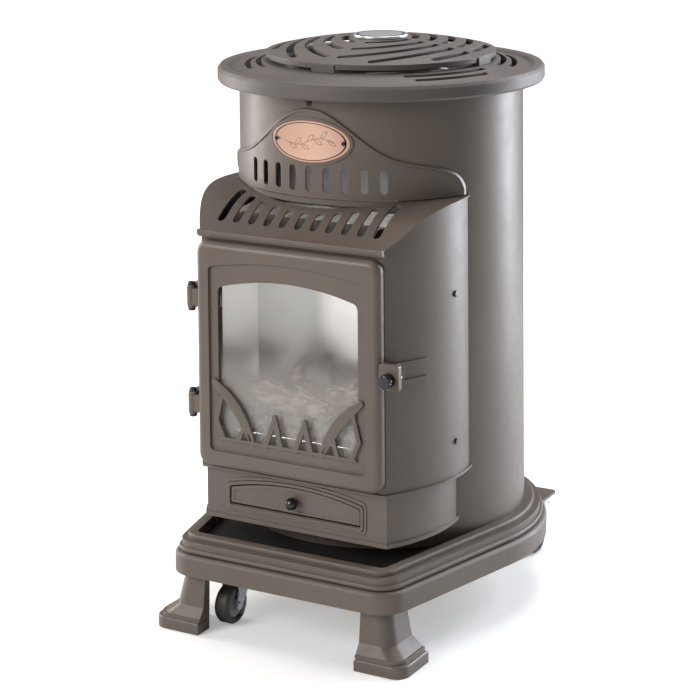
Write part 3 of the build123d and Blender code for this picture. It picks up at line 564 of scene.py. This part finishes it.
def collar_edge():
    """Bearings and heights along the collar's upper edge, from left to right, and its outer radius."""
    shape = bmesh.new()
    shape.from_mesh(NODES["collar"].data)
    bmesh.ops.remove_doubles(shape, verts=shape.verts, dist=0.002 * MM)
    low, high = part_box("oval_badge")
    foot, top = (corner.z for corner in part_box("collar"))
    badge_rim = 5.5 * MM
    slot_reach = 125 * MM
    slot_top = foot + 45 * MM
    radius = max(off_axis(v.co).length for v in shape.verts if v.co.z > top - 0.5 * MM)
    places = []
    for vertex in shape.verts:
        across = vertex.co.x / (high.x + badge_rim)
        up = (vertex.co.z - (high.z + low.z) / 2) / ((high.z - low.z) / 2 + badge_rim)
        off_badge = across * across + up * up > 1
        slots = abs(vertex.co.x) < slot_reach and vertex.co.z < slot_top
        spot = off_axis(vertex.co)
        outer = abs(spot.length - radius) < 0.05 * MM
        if outer and off_badge and not slots and vertex.co.z > foot + 1 * MM:
            places.append((math.atan2(spot.x, -spot.y), vertex.co.z))
    shape.free()
    return sorted(places), radius


def collar_bead(finishes):
    """Rolled bead just inside the collar's upper edge."""
    places, radius = collar_edge()
    inset = 2.2 * MM
    flat = [Vector((bearing * radius, z)) for bearing, z in places]
    points, outward = [], []
    for i, spot in enumerate(flat):
        before = flat[max(i - 1, 0)]
        after = flat[min(i + 1, len(flat) - 1)]
        run = (after - before).normalized()
        inner = spot + Vector((run.y, -run.x)) * inset
        bearing = inner.x / radius
        points.append(AXIS + Vector((radius * math.sin(bearing), -radius * math.cos(bearing), inner.y)))
        outward.append(Vector((math.sin(bearing), -math.cos(bearing), 0)))
    mesh = tube(points, outward, 2.1 * MM, 0.75, 12)
    mesh.materials.append(finishes["body_paint"].material)
    return new_piece("collar_bead", mesh, "base")


def leaf(root, length, lean, curl):
    """Points of a slender leaf outline, as across and up."""
    points = []
    count = 24
    for side in (1, -1):
        for k in range(count + 1):
            share = k / count if side > 0 else 1 - k / count
            along = length * share
            swell = side * 0.19 * length * math.sin(math.pi * share)
            bend = curl * length * share * share
            across = along * math.cos(lean) - (swell + bend) * math.sin(lean)
            up = along * math.sin(lean) + (swell + bend) * math.cos(lean)
            points.append((root[0] + across, root[1] + up))
    return points


def badge_ornament(finishes):
    """Plain sprig of leaves on a stem, drawn in fine raised lines on the copper badge."""
    low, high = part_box("oval_badge")
    middle = (high.z + low.z) / 2
    radius = max(off_axis(v.co).length for v in NODES["oval_badge"].data.vertices)
    engraved = Finish("engraved_line")
    speck = engraved.noise(500.0, 2.0)
    engraved.set(Base_Color=engraved.mix(speck, (0.30, 0.13, 0.08), (0.42, 0.20, 0.13)))
    engraved.set(Metallic=0.8, Roughness=0.45)
    half = 36 * MM

    def on_stem(share):
        return (share * half, 5 * MM * math.sin(math.pi * share))

    shapes = [[on_stem(k / 30 - 1) for k in range(61)]]
    for k in range(7):
        up = 1 if k % 2 else -1
        shapes.append(leaf(on_stem(-0.78 + 0.26 * k), 13 * MM, up * 0.75 + 0.15, -0.10 * up))
    for number, shape in enumerate(shapes):
        points = [on_drum(x, middle + z, radius) for x, z in shape]
        outward = [(p - AXIS).normalized() for p in points]
        mesh = tube(points, outward, 0.38 * MM, 0.8, 8)
        mesh.materials.append(engraved.material)
        new_piece(f"badge_leaf_{number}", mesh, "base")


# Studio ---------------------------------------------------------------------
def floor():
    """Plain pale floor that runs out into the white surround."""
    half = 8.0
    bpy.ops.mesh.primitive_plane_add(size=2 * half, location=(0, 0, -0.0005))
    plane = bpy.context.object
    plane.name = "floor"
    pale = Finish("pale_floor")
    speck = pale.noise(30.0, 3.0)
    pale.set(Base_Color=pale.mix(speck, (0.86, 0.86, 0.86), (0.90, 0.90, 0.90)), Roughness=0.6)
    glow = pale.step(pale.distance((0, 0, 0)), 0.35, 1.8)
    seen = pale.node("ShaderNodeLightPath").outputs["Is Camera Ray"]
    lift = pale.calc("MULTIPLY", pale.calc("MULTIPLY_ADD", glow, 0.60, 0.30), seen)
    pale.set(Emission_Color=(1.0, 1.0, 1.0), Emission_Strength=lift)
    plane.data.materials.append(pale.material)


def surround():
    """White surround, brighter to the camera than as a light."""
    world = bpy.data.worlds.new("surround")
    world.use_nodes = True
    tree = world.node_tree
    light = tree.nodes["Background"]
    light.inputs[0].default_value = (0.97, 0.98, 1.0, 1)
    light.inputs[1].default_value = 0.26
    seen = tree.nodes.new("ShaderNodeBackground")
    seen.inputs[0].default_value = (1, 1, 1, 1)
    seen.inputs[1].default_value = 1.0
    path = tree.nodes.new("ShaderNodeLightPath")
    mixed = tree.nodes.new("ShaderNodeMixShader")
    tree.links.new(path.outputs["Is Camera Ray"], mixed.inputs[0])
    tree.links.new(light.outputs[0], mixed.inputs[1])
    tree.links.new(seen.outputs[0], mixed.inputs[2])
    tree.links.new(mixed.outputs[0], tree.nodes["World Output"].inputs[0])
    bpy.context.scene.world = world


def softbox(name, place, aim, wide, tall, power, colour):
    """An oblong area light aimed at a point, hidden from the camera."""
    data = bpy.data.lights.new(name, "AREA")
    data.shape = "RECTANGLE"
    data.size = wide
    data.size_y = tall
    data.energy = power
    data.color = colour
    lamp = bpy.data.objects.new(name, data)
    bpy.context.scene.collection.objects.link(lamp)
    lamp.location = place
    lamp.rotation_mode = "QUATERNION"
    lamp.rotation_quaternion = (Vector(aim) - Vector(place)).to_track_quat("-Z", "Y")
    lamp.visible_camera = False


def lights():
    """Front key, two tall side strips and an overhead box."""
    middle = (0, 0, 0.4)
    softbox("key", (-1.3, -2.6, 1.8), middle, 1.5, 1.5, 66, (1.0, 0.975, 0.94))
    softbox("right_strip", (1.25, 1.9, 0.9), middle, 0.40, 2.0, 75, (0.88, 0.92, 1.0))
    softbox("left_strip", (-1.9, -0.1, 0.8), middle, 0.5, 1.8, 30, (1.0, 0.98, 0.96))
    softbox("overhead", (0.1, 0.5, 2.2), middle, 1.2, 1.2, 26, (1.0, 1.0, 1.0))


def camera():
    """Camera with its shifted lens; seen from anywhere else the lens is plain."""
    data = bpy.data.cameras.new("camera")
    data.sensor_width = SENSOR
    data.lens = LENS
    data.clip_start = 0.05
    data.clip_end = 60
    obj = bpy.data.objects.new("camera", data)
    bpy.context.scene.collection.objects.link(obj)
    forward = Vector((-math.sin(CAMERA_YAW) * math.cos(CAMERA_PITCH),
                      math.cos(CAMERA_YAW) * math.cos(CAMERA_PITCH), -math.sin(CAMERA_PITCH)))
    level = Vector((math.cos(CAMERA_YAW), math.sin(CAMERA_YAW), 0))
    up = level.cross(forward)
    right = level * math.cos(CAMERA_ROLL) + up * math.sin(CAMERA_ROLL)
    top = up * math.cos(CAMERA_ROLL) - level * math.sin(CAMERA_ROLL)
    axes = Matrix((right, top, -forward)).transposed()
    obj.rotation_mode = "QUATERNION"
    obj.rotation_quaternion = axes.to_quaternion()
    obj.location = CAMERA_PLACE
    driver = data.driver_add("shift_y").driver
    driver.type = "SCRIPTED"
    for name, index in (("across", 0), ("back", 1)):
        variable = driver.variables.new()
        variable.name = name
        variable.targets[0].id = obj
        variable.targets[0].data_path = f"location[{index}]"
    near = f"abs(across - {CAMERA_PLACE.x:.4f}) + abs(back - {CAMERA_PLACE.y:.4f}) < 0.01"
    driver.expression = f"{LENS_SHIFT} if {near} else 0"
    bpy.context.scene.camera = obj


FINISHES = paint_slots()
finish_nodes(FINISHES)
fire(FINISHES)
guard_wire(FINISHES)
collar_bead(FINISHES)
badge_ornament(FINISHES)
floor()
surround()
lights()
camera()
bpy.context.scene.view_settings.view_transform = "Standard"
